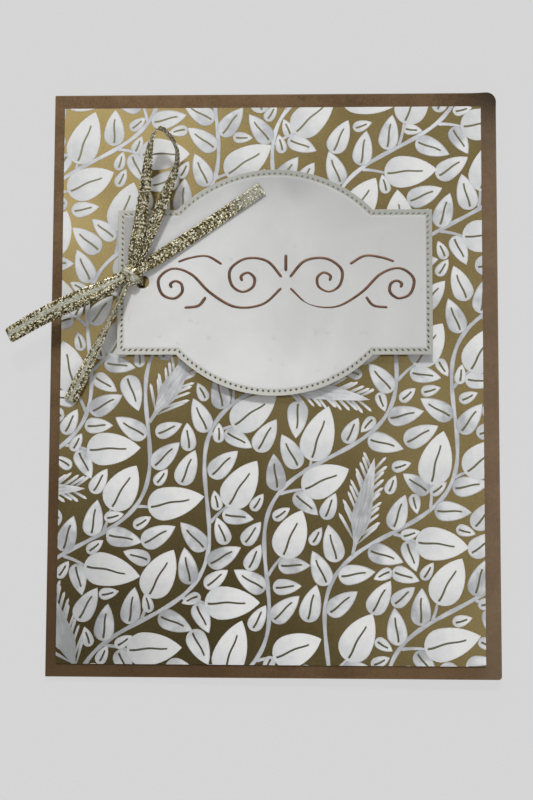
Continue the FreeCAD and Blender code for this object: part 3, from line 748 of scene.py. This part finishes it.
# rows of the outline at growing depths, each with its height; then straight lines on to the hole's rim,
# down its wall and back under to the edge, so the surface closes on itself both ways
def makeTag():
    depths = np.array([0.0, 0.05, 0.3, 0.6, 0.8, 0.89, 0.98, 1.07, 1.16, 1.25, 1.34, 1.45, 1.52, 1.6,
                       1.75, 2.2])
    loops = np.stack([tagLoop(d) for d in depths])
    columns = loops.shape[1]
    phase = np.arange(columns) / tag["perDot"]
    band = -tag["bandDepth"] * (1 - np.clip((depths - tag["bandWidth"]) / 0.14, 0.0, 1.0))
    band[0] -= tag["bevel"]
    side = (np.mod(phase, 1.0) - 0.5) * tag["dotSpacing"]
    away = np.hypot(side[None, :], (depths - tag["dotInset"])[:, None])
    height = tag["top"] + band[:, None] - tag["dotDepth"] * np.exp(-(away / (0.8 * tag["dotRadius"])) ** 2)
    rows = [np.concatenate([loops, height[..., None]], -1)]
    hole = np.array([tag["x"] - tag["width"] / 2 + tag["holeFromEdge"], tag["y"]])
    spoke = unit(loops[-1] - hole)
    rim = tag["hole"] / 2
    shares = np.array([0.12, 0.26, 0.42, 0.58, 0.74, 0.88, 0.96, 1.0])[:, None, None]
    inner = loops[-1] * (1 - shares) + (hole + spoke * (rim + tag["bevel"])) * shares
    warp = tag["warp"] * np.sin(inner[..., 0] * 0.11 + 0.6) * np.sin(inner[..., 1] * 0.16 - 1.0)
    taper = np.sin(np.pi * shares[..., 0]) ** 0.7
    rows.append(np.concatenate([inner, (tag["top"] + warp * taper)[..., None]], -1))
    under = -tag["stock"]
    below = [(hole + spoke * rim, -0.05), (hole + spoke * rim, -0.3), (hole + spoke * (rim + 0.05), under),
             (tagLoop(0.0), under)]
    for loop, drop in below:
        rows.append(np.concatenate([loop, np.full((columns, 1), tag["top"] + drop)], -1)[None])
    points = np.concatenate(rows)
    count = len(points)
    uv = np.zeros((count + 1, columns + 1, 2))
    uv[:len(depths), :columns, 1] = depths[:, None]
    uv[len(depths):, :columns, 1] = 3.0 + np.arange(count + 1 - len(depths))[:, None]
    uv[:, :columns, 0] = phase
    uv[:, columns] = uv[:, columns - 1] + (1.0 / tag["perDot"], 0.0)
    piece = makePiece("labelTag", onFront(points), gridFaces(count, columns, True), whiteCard(), uv=uv,
                      smooth=50.0)
    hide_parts("label_tag")
    print("tag cut:", columns // tag["perDot"], "stitch holes")


makeTag()

ornament = {
    "x": 2.7, "y": -0.4, "width": 0.68, "rise": 0.1, "dark": screen(88, 61, 43), "light": screen(122, 92, 70),
    "scrolls": [
        [(0.9, -1.0), (5.5, -5.0), (12.0, -5.6), (18.0, -2.2), (22.5, 2.2), (27.0, 3.6), (30.3, 1.2),
         (29.6, -2.4), (26.8, -3.6), (24.8, -2.2), (24.9, -0.2), (26.3, 0.6), (27.5, -0.1), (27.2, -1.1)],
        [(0.9, 1.4), (4.5, 5.4), (9.5, 6.0), (13.2, 3.4), (12.9, -0.3), (10.4, -2.0), (7.9, -0.9),
         (7.5, 1.3), (9.0, 2.6), (10.6, 1.8), (10.4, 0.5)],
        [(19.0, -3.2), (20.8, -5.3), (24.2, -5.8)],
        [(15.2, 4.6), (18.8, 6.6), (22.8, 6.2), (25.8, 5.2)],
    ],
    "drop": [(0.0, 2.9), (0.0, 5.0), (0.0, 7.0)],
}


# a smooth line through points: between two of them a cubic whose slopes follow their neighbours
def smoothThrough(points, steps=14):
    p = np.asarray(points, float)
    p = np.concatenate([2 * p[:1] - p[1:2], p, 2 * p[-1:] - p[-2:-1]])
    t = (np.arange(steps) / steps)[None, :, None]
    a, b, c, d = [p[k:len(p) - 3 + k, None, :] for k in range(4)]
    line = 0.5 * (2 * b + (c - a) * t + (2 * a - 5 * b + 4 * c - d) * t ** 2
                  + (3 * b - a - 3 * c + d) * t ** 3)
    return np.concatenate([line.reshape(-1, 2), p[-2:-1]])


def copperLine():
    paint = newPaint("copperLine")
    place = paint.objectMm()
    grain = paint.noise(place, 5.0, 4.0, 0.7)
    blotch = paint.noise(place, 0.5, 2.0, 0.5)
    colour = paint.mix(paint.step(blotch * 0.5 + grain * 0.5, 0.35, 0.65), ornament["dark"],
                       ornament["light"])
    return paint.finish(Base_Color=colour, Metallic=0.45, Roughness=0.32 + grain * 0.25,
                        Normal=paint.bump(grain, 0.02, 0.6))


# the section is half an oval on the tag; its width swells where the line falls and thins at both ends
def makeOrnament():
    angle = np.linspace(0.0, np.pi, 8)
    blocks = []
    strokes = [np.array(scroll) * (side, 1.0) for side in (1.0, -1.0) for scroll in ornament["scrolls"]]
    for stroke in strokes + [np.array(ornament["drop"])]:
        line = smoothThrough(stroke) + (tag["x"] + ornament["x"], tag["y"] + ornament["y"])
        way = np.gradient(line, axis=0)
        step = np.linalg.norm(way, axis=-1)
        way /= step[:, None]
        aside = np.stack([-way[:, 1], way[:, 0]], -1)
        run = np.cumsum(step)
        run -= run[0]
        end = np.clip(np.minimum(run, run[-1] - run) / 0.5, 0.0, 1.0)
        half = ornament["width"] / 2 * (0.8 + 0.28 * np.abs(way[:, 1])) * np.sqrt(end * (2 - end))
        across = half[:, None] * np.cos(angle)
        flat = line[:, None, :] + aside[:, None, :] * across[..., None]
        rise = tag["top"] + ornament["rise"] * np.sqrt(end * (2 - end))[:, None] * np.sin(angle)
        blocks.append([np.concatenate([flat, rise[..., None]], -1)[None]])
    points, faces = joinBlocks(blocks)
    piece = makePiece("lineOrnament", onFront(points), faces, copperLine())
    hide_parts("line_ornament")
    print("ornament drawn:", len(blocks), "strokes")


makeOrnament()

# the pads lie between the panel and the tag
foam = {"side": 12.0, "farX": 26.0, "farY": 16.0, "bulge": 0.18, "squareness": 12,
        "dark": screen(186, 184, 178), "light": screen(222, 221, 216)}


def foamMaterial():
    paint = newPaint("foam")
    place = paint.objectMm()
    cells = paint.add("TexVoronoi", {"feature": "F1"}, {"Vector": place, "Scale": 3.2})
    colour = paint.mix(paint.step(cells, 0.1, 0.6), foam["dark"], foam["light"])
    return paint.finish(Base_Color=colour, Roughness=0.9, Normal=paint.bump(cells, 0.08, 0.7))


# a rounded square carried up the pad's height, its sides swelling as a sine of the height
def makeFoam():
    angle = np.linspace(0.0, 2 * np.pi, 48, endpoint=False)
    c, s = np.cos(angle), np.sin(angle)
    power = foam["squareness"]
    square = 1.0 / (np.abs(c) ** power + np.abs(s) ** power) ** (1 / power)
    outline = np.stack([c * square, s * square], -1)
    share = np.array([0.0, 0.0, 0.0, 0.06, 0.2, 0.4, 0.6, 0.8, 0.94, 1.0, 1.0, 1.0])
    reach = np.array([0.0, 0.6, 0.97, 1.0, 1.0, 1.0, 1.0, 1.0, 1.0, 0.97, 0.6, 0.0])
    bottom = panel["paper"] + panel["print"]
    radius = foam["side"] / 2 * reach - foam["bulge"] * (1 - np.sin(np.pi * share)) * (reach > 0)
    blocks = []
    for x in (-foam["farX"], foam["farX"] - foam["side"]):
        for y in (-foam["farY"], foam["farY"] - foam["side"]):
            middle = (tag["x"] + x + foam["side"] / 2, tag["y"] + y + foam["side"] / 2)
            flat = outline[None] * radius[:, None, None] + middle
            rise = np.broadcast_to((bottom + tag["foam"] * share)[:, None, None], (*flat.shape[:2], 1))
            blocks.append([np.concatenate([flat, rise], -1)[None]])
    points, faces = joinBlocks(blocks)
    piece = makePiece("foamPads", onFront(points), faces, foamMaterial())
    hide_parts("foam_pads")
    print("foam pads placed")


makeFoam()

# ribbon: flat braid tied as a bow through the tag's hole

braid = {
    "width": 3.2, "thick": 0.3, "wrapWidth": 2.5, "gathered": 0.45, "gatherLength": 5.0,
    "step": 0.25, "across": 15, "stitch": 0.95, "stitchHigh": 0.045, "bandHigh": 0.03, "edgeWave": 0.035,
    "wrapClear": 0.5, "knot": (-33.95, 24.9),
    "dark": screen(42, 35, 17), "deep": screen(98, 86, 48), "gold": screen(172, 156, 102),
    "cream": screen(255, 250, 224), "heart": screen(214, 216, 200), "heartDark": screen(140, 140, 118),
    "pale": screen(206, 206, 192),
}
# what differs in each braid: the pale heart's share and width, the place along the strand where it
# turns pale, how lively its glints are, and the fineness and shade of the heart's threads
braidLooks = {
    "goldBraid": {"heartShare": 0.15},
    "goldBraidHeart": {"heartShare": 0.95, "heartWide": 1.3, "lively": 0.06},
    "goldBraidLow": {"heartShare": 0.85, "heartWide": 1.2, "lively": 0.08},
    "goldBraidPale": {"heartShare": 0.15, "paleFrom": 25.0},
    "goldBraidKnot": {"heartShare": 0.9, "heartWide": 2.6, "lively": 0.05, "threadFine": 2.4,
                      "between": "deep"},
}
strandLooks = {"upLoop": "goldBraid", "sideLoop": "goldBraidHeart", "rightTail": "goldBraidPale",
               "lowTail": "goldBraidLow"}
# the knot's two turns, in mm and degrees; middle is the height of both above the tag's top
knot = {
    "middle": 1.47,
    "knotBand": {"turn": -52.0, "halfLong": 2.1, "halfHigh": 1.02, "width": 4.5, "slip": 0.3, "swell": 0.5},
    "knotOver": {"turn": -34.0, "halfLong": 2.4, "halfHigh": 1.2, "width": 3.0, "slip": -0.35, "swell": 0.45},
}
# x and y from the knot, height above the tag's top, and the azimuth and rise in degrees of the width
routes = {
    "upLoop": [
        (0.05, 1.1, 2.12, 0, 10), (1.25, 6.1, 2.32, 0, 8), (2.95, 16.1, 3.12, 0, 12),
        (4.05, 25.1, 4.02, 0, 36), (4.65, 31.7, 4.22, 0, 58), (6.75, 36.0, 4.12, 0, 68),
        (10.9, 31.4, 3.62, 0, 80), (11.3, 26.7, 3.12, 0, 60), (8.5, 19.5, 2.42, 0, 24),
        (5.15, 11.5, 1.92, 0, 14), (2.45, 5.5, 1.62, 0, 10), (0.75, 1.1, 1.32, 0, 14),
    ],
    "sideLoop": [
        (-1.05, -0.3, 2.22, 117, 0), (-6.15, -3.3, 3.52, 117, 4), (-13.55, -6.4, 4.32, 117, 6),
        (-21.05, -10.1, 4.22, 117, 6), (-27.35, -13.9, 3.72, 117, 3), (-28.1, -14.4, 3.72, 117, 2),
        (-28.58, -14.75, 3.13, 117, 1), (-28.58, -14.8, 2.31, 117, -1), (-28.1, -14.55, 1.72, 117, -2),
        (-27.35, -14.15, 1.72, 117, -3), (-21.05, -10.5, 1.72, 117, -5), (-13.55, -7, 1.82, 117, -5),
        (-6.05, -3.8, 1.72, 117, -3), (-1.05, -0.4, 1.22, 117, 0),
    ],
    "rightTail": [
        (1.05, 0.4, 1.52, 125, 0), (5.35, 3.5, 1.12, 125, 4), (13.95, 9.1, 0.62, 125, 3),
        (22.35, 14.9, 0.47, 125, 0), (31.25, 21.2, 0.57, 125, 0),
    ],
    "lowTail": [
        (-0.35, -0.9, 1.72, 20, 20), (-1.65, -4.1, 1.42, 20, 44), (-4.05, -9.3, 1.32, 22, 56),
        (-7.05, -15.5, 0.72, 26, 34), (-10.65, -22.1, -0.28, 28, 16), (-14.45, -29.8, -1.18, 28, 8),
    ],
}


# the points of the smooth line that Blender's NURBS of order three gives for control points
def smoothLine(points):
    curve = bpy.data.curves.new("route", "CURVE")
    curve.dimensions = "3D"
    curve.resolution_u = 24
    spline = curve.splines.new("NURBS")
    spline.points.add(len(points) - 1)
    weighted = np.column_stack([points, np.ones(len(points))])
    spline.points.foreach_set("co", weighted.astype(np.float32).ravel())
    spline.order_u = 3
    spline.use_endpoint_u = True
    holder = addObject("route", curve)
    bpy.context.view_layer.update()
    mesh = bpy.data.meshes.new_from_object(holder)
    line = np.empty(len(mesh.vertices) * 3, np.float32)
    mesh.vertices.foreach_get("co", line)
    bpy.data.objects.remove(holder)
    bpy.data.curves.remove(curve)
    bpy.data.meshes.remove(mesh)
    return line.reshape(-1, 3).astype(float)


# a route's line at equal steps in metres, and its width's direction at each
def followRoute(route):
    route = np.array(route, float)
    azimuth, rise = np.radians(route[:, 3]), np.radians(route[:, 4])
    aim = np.stack([np.cos(azimuth) * np.cos(rise), np.sin(azimuth) * np.cos(rise), np.sin(rise)], -1)
    line = smoothLine(onFront(route[:, :3]))
    aims = smoothLine(onFront(aim) - onFront(np.zeros(3)))
    run = lengthAlong(line)
    even = np.linspace(0.0, run[-1], int(run[-1] / (braid["step"] * mm)) + 1)
    line = np.stack([np.interp(even, run, line[:, k]) for k in range(3)], -1)
    aims = np.stack([np.interp(even, run, aims[:, k]) for k in range(3)], -1)
    return line, aims, even / mm


# the braid's surface over its length s and its place v across from -1 to 1: the flat side, rounded off
# at the selvedges, with two rows of slanting stitches and a flat heart between them
def braidRelief(s, v):
    slant = np.sin(2 * np.pi * (s / braid["stitch"] + 0.55 * np.abs(v)))
    bands = np.exp(-((np.abs(v) - 0.6) / 0.26) ** 2)
    return braid["stitchHigh"] * bands * slant + braid["bandHigh"] * bands


# a closed band's places across from -1 to 1, its upper side's height at each and the texture places
# round it: the upper side from edge to edge, then the lower side back
def bandSection(s, width):
    v = np.sin(np.linspace(-np.pi / 2, np.pi / 2, braid["across"]))
    high = braid["thick"] / 2 * np.sqrt(np.clip(1 - v ** 8, 0.02, 1.0)) + braidRelief(s[:, None], v)
    ring = np.concatenate([(v + 1) / 2, 1 + (1 + v) / 2, [2.0]]) * width
    return v, high, ring


def bandPlaces(s, ring):
    return np.stack(np.broadcast_arrays(s[:, None], ring[None, :]), -1)


def braidPiece(name, points, uv, material, closed=False):
    return makePiece(name, points, gridFaces(*points.shape[:2], closed), material, uv=uv, smooth=60.0)


# the band carried along a line, gathered where it enters the knot; one more ring at each end, shrunk
# to its middle, closes it
def strand(name, material, line, aims, run, width, ends):
    way = unit(np.gradient(line, axis=0))
    across = unit(aims - way * np.sum(aims * way, -1, keepdims=True))
    up = np.cross(way, across)
    fromKnot = np.minimum(run, run[-1] - run) if ends == 2 else run
    spread = np.minimum(1.0, braid["gathered"] + (1 - braid["gathered"]) * fromKnot / braid["gatherLength"])
    v, high, ring = bandSection(run, width)
    edge = 1.0 + braid["edgeWave"] * np.sin(2 * np.pi * run / braid["stitch"])[:, None]
    aside = width / 2 * spread[:, None] * v * edge
    aside = np.concatenate([aside, aside[:, ::-1]], 1)
    high = np.concatenate([high, -high[:, ::-1]], 1)
    points = line[:, None, :] + mm * (across[:, None, :] * aside[..., None] + up[:, None, :] * high[..., None])
    caps = [np.repeat(points[k:k + 1].mean(1, keepdims=True), points.shape[1], 1)
            for k in (0, len(points) - 1)]
    uv = bandPlaces(run[[0, *range(len(run)), -1]], ring)
    return braidPiece(name, np.concatenate([caps[0], points, caps[1]]), uv, material)


def goldBraid(name, heartShare, paleFrom=1000.0, heartWide=1.0, lively=0.0, threadFine=7.0,
              between="heartDark"):
    paint = newPaint(name)
    uv = paint.add("UVMap", {"uv_map": "surface"})
    s, ring = paint.split(uv)[:2]
    place = abs((ring / braid["width"]).math("FRACT") - 0.5) * 2
    heart = (1 - paint.step(place, 0.14 * heartWide, 0.30 * heartWide)) * heartShare
    slantIn = paint.add("CombineXYZ", {}, [s * 1.05 + place * 0.7, ring * 1.2, 0.0])
    cells = paint.add("TexVoronoi", {"feature": "F1"}, {"Vector": slantIn, "Scale": 2.9, "Randomness": 0.9},
                      output="Color")
    first, second, third = paint.split(cells)
    gap = paint.add("TexVoronoi", {"feature": "DISTANCE_TO_EDGE"},
                    {"Vector": slantIn, "Scale": 2.9, "Randomness": 0.9})
    stitches = (s * (2 * math.pi / braid["stitch"]) + place * 1.7).math("SINE") * 0.5 + 0.5
    glint = paint.ramp(first * 0.8 + stitches * 0.2 + lively, [
        (0.12, braid["dark"]), (0.42, braid["deep"]), (0.62, braid["gold"]), (0.74, braid["cream"])])
    threads = paint.noise(paint.stretch(uv, (0.8, threadFine, 1.0)), 1.0, 3.0, 0.6)
    heartColour = paint.mix(paint.step(threads, 0.38, 0.60), braid[between], braid["heart"])
    pale = paint.step(s, paleFrom, paleFrom + 9.0)
    colour = paint.layers(
        glint, (heart, heartColour),
        ((1 - paint.step(gap, 0.0, 0.08)) * (0.8 - heart * 0.6), braid["dark"]), (pale * 0.5, braid["pale"]))
    height = second * 0.6 + paint.step(gap, 0.0, 0.12) * 0.5 + threads * heart
    return paint.finish(Base_Color=colour, Metallic=0.62 - heart * 0.5, Roughness=0.26 + third * 0.3,
                        Normal=paint.bump(height, 0.09, 0.9))


def makeStrands(materials):
    knotX, knotY = braid["knot"]
    made = {}
    for name, route in routes.items():
        placed = [(knotX + x, knotY + y, tag["top"] + z, a, r) for x, y, z, a, r in route]
        line, aims, run = followRoute(placed)
        piece = strand(name, materials[strandLooks[name]], line, aims, run, braid["width"],
                       2 if name.endswith("Loop") else 1)
        made[name] = (piece, line, run[-1] * mm)
    return made


# the wrap: down the hole, left under the tag, round its edge and up to the knot
def makeWrap(material):
    knotX = braid["knot"][0]
    holeX = tag["x"] - tag["width"] / 2 + tag["holeFromEdge"]
    clear = braid["wrapClear"]
    above, below = tag["top"] + clear, tag["top"] - tag["stock"] - clear
    outside = tag["x"] - tag["width"] / 2 - clear
    middle = (above + below) / 2
    y = tag["y"] + 0.1
    route = [(holeX - 1.6, y + 0.7, above + 0.4, 90, 0), (holeX - 0.3, y, above + 0.3, 90, 0),
             (holeX + 0.1, y, middle, 90, 0), (holeX - 0.2, y, below, 90, 0),
             ((holeX + outside + clear) / 2, y + 0.3, below, 90, 0), (outside, y + 0.7, below, 90, 0),
             (outside - 0.6, y + 0.8, middle, 90, 0), (outside, y + 1.0, above, 90, 0),
             (knotX - 1.2, y + 1.3, above + 0.2, 90, 0)]
    return strand("ribbonWrap", material, *followRoute(route), braid["wrapWidth"], 2)


# one turn of the knot: the band's section carried round an oval, its edges drawn in like a barrel's
def knotTurn(name, material, turn, halfLong, halfHigh, width, slip, swell):
    theta = np.linspace(0.0, 2 * np.pi, 64, endpoint=False)
    c, s = np.cos(theta), np.sin(theta)
    oval = np.stack([halfLong * np.sign(c) * np.abs(c) ** 0.8, halfHigh * np.sign(s) * np.abs(s) ** 0.8], -1)
    way = np.roll(oval, -1, 0) - np.roll(oval, 1, 0)
    out = unit(np.stack([way[:, 1], -way[:, 0]], -1))
    run = lengthAlong(np.vstack([oval, oval[:1]]))
    v, top, ring = bandSection(run[:-1], braid["width"])
    low = -braid["thick"] / 2 + 0 * top
    high = np.concatenate([top, low], 1) - swell * np.concatenate([v, v[::-1]]) ** 2
    across = np.concatenate([v, v[::-1]]) * width / 2
    plan = oval[:, None, 0] + out[:, None, 0] * high
    rise = oval[:, None, 1] + out[:, None, 1] * high
    aside = np.broadcast_to(across, plan.shape) + slip * c[:, None]
    angle = math.radians(turn)
    x = braid["knot"][0] + plan * math.cos(angle) - aside * math.sin(angle)
    y = braid["knot"][1] + plan * math.sin(angle) + aside * math.cos(angle)
    z = tag["top"] + knot["middle"] + rise
    return braidPiece(name, onFront(np.stack([x, y, z], -1)), bandPlaces(run, ring), material, True)


braids = {name: goldBraid(name, **look) for name, look in braidLooks.items()}
strands = makeStrands(braids)
knotPieces = [makeWrap(braids["goldBraid"]), knotTurn("knotBand", braids["goldBraid"], **knot["knotBand"]),
              knotTurn("knotOver", braids["goldBraidKnot"], **knot["knotOver"])]
for piece in knotPieces + [item[0] for item in strands.values()]:
    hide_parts("ribbon_bow")
for name, (piece, line, length) in strands.items():
    knotPieces if name == "upLoop" else []
    print("ribbon", name, round(length / mm, 1), "mm")

studio = {
    "floor": screen(213, 213, 213), "backdrop": screen(213, 213, 213), "floorGlow": 0.92, "glow": 1.01,
    "floorReach": 3.0, "floorDrop": 0.00002,
    "key": 1.68, "keyHigh": 44.0, "keyTurn": 4.0, "keyAngle": 8.0,
    "top": 1.26, "right": 0.58, "patch": 0.98, "foot": 0.62, "rise": 0.13,
}


def makeFloor():
    paint = newPaint("floor")
    seen = sum(paint.add("LightPath", output=ray) for ray in ("Is Camera Ray", "Is Glossy Ray",
                                                              "Is Transmission Ray"))
    glow = paint.add("Emission", {}, {"Color": studio["floor"], "Strength": studio["glow"]})
    plain = paint.finish(Base_Color=studio["floor"], Roughness=0.9)
    mixed = paint.tree.nodes.new("ShaderNodeMixShader")
    paint.put(mixed.inputs[0], seen * studio["floorGlow"])
    paint.tree.links.new(paint.shader.outputs[0], mixed.inputs[1])
    paint.tree.links.new(glow.socket, mixed.inputs[2])
    paint.tree.links.new(mixed.outputs[0], paint.tree.nodes["Material Output"].inputs["Surface"])
    mesh = bpy.data.meshes.new("floor")
    r = studio["floorReach"]
    mesh.from_pydata([(-r, -r, 0), (r, -r, 0), (r, r, 0), (-r, r, 0)], [], [(0, 1, 2, 3)])
    mesh.materials.append(plain)
    floor = addObject("floor", mesh)
    floor.location.z = -studio["floorDrop"]


# soft light, brighter from beyond the top of the card than from beyond its foot, and a bright patch
# at the upper left; the camera alone sees the plain backdrop
def makeWorld():
    world = bpy.data.worlds.new("studio")
    bpy.context.scene.world = world
    paint = Paint(world)
    paint.tree.nodes.clear()
    x, y = paint.split(paint.add("TexCoord", output="Generated"))[:2]
    lights = {
        "top": paint.step(y, 0.38, 0.82),
        "right": paint.step(x, -0.04, 0.20) * (1 - paint.step(y, 0.10, 0.34) * 0.95),
        "patch": 1 - paint.step(((x + 0.24) ** 2 + (y - 0.30) ** 2) ** 0.5, 0.05, 0.30),
        "foot": paint.step(0 - y, 0.38, 0.72),
        "rise": paint.step(y, -0.14, 0.14),
    }
    strength = sum(share * studio[name] for name, share in lights.items())
    light = paint.add("CombineXYZ", {}, [strength, strength, strength])
    seen = paint.add("LightPath", output="Is Camera Ray")
    background = paint.add("Background", {}, {"Color": paint.mix(seen, light, studio["backdrop"]),
                                              "Strength": 1.0})
    out = paint.tree.nodes.new("ShaderNodeOutputWorld")
    paint.tree.links.new(background.socket, out.inputs["Surface"])


def makeKeyLamp():
    data = bpy.data.lights.new("keyLamp", "SUN")
    data.energy = studio["key"]
    data.angle = math.radians(studio["keyAngle"])
    lamp = addObject("keyLamp", data)
    lamp.rotation_euler = (math.radians(studio["keyHigh"] - 90), 0.0, math.radians(studio["keyTurn"]))


makeFloor()
makeWorld()
makeKeyLamp()
bpy.context.scene.view_settings.view_transform = "Standard"
print("studio lit")
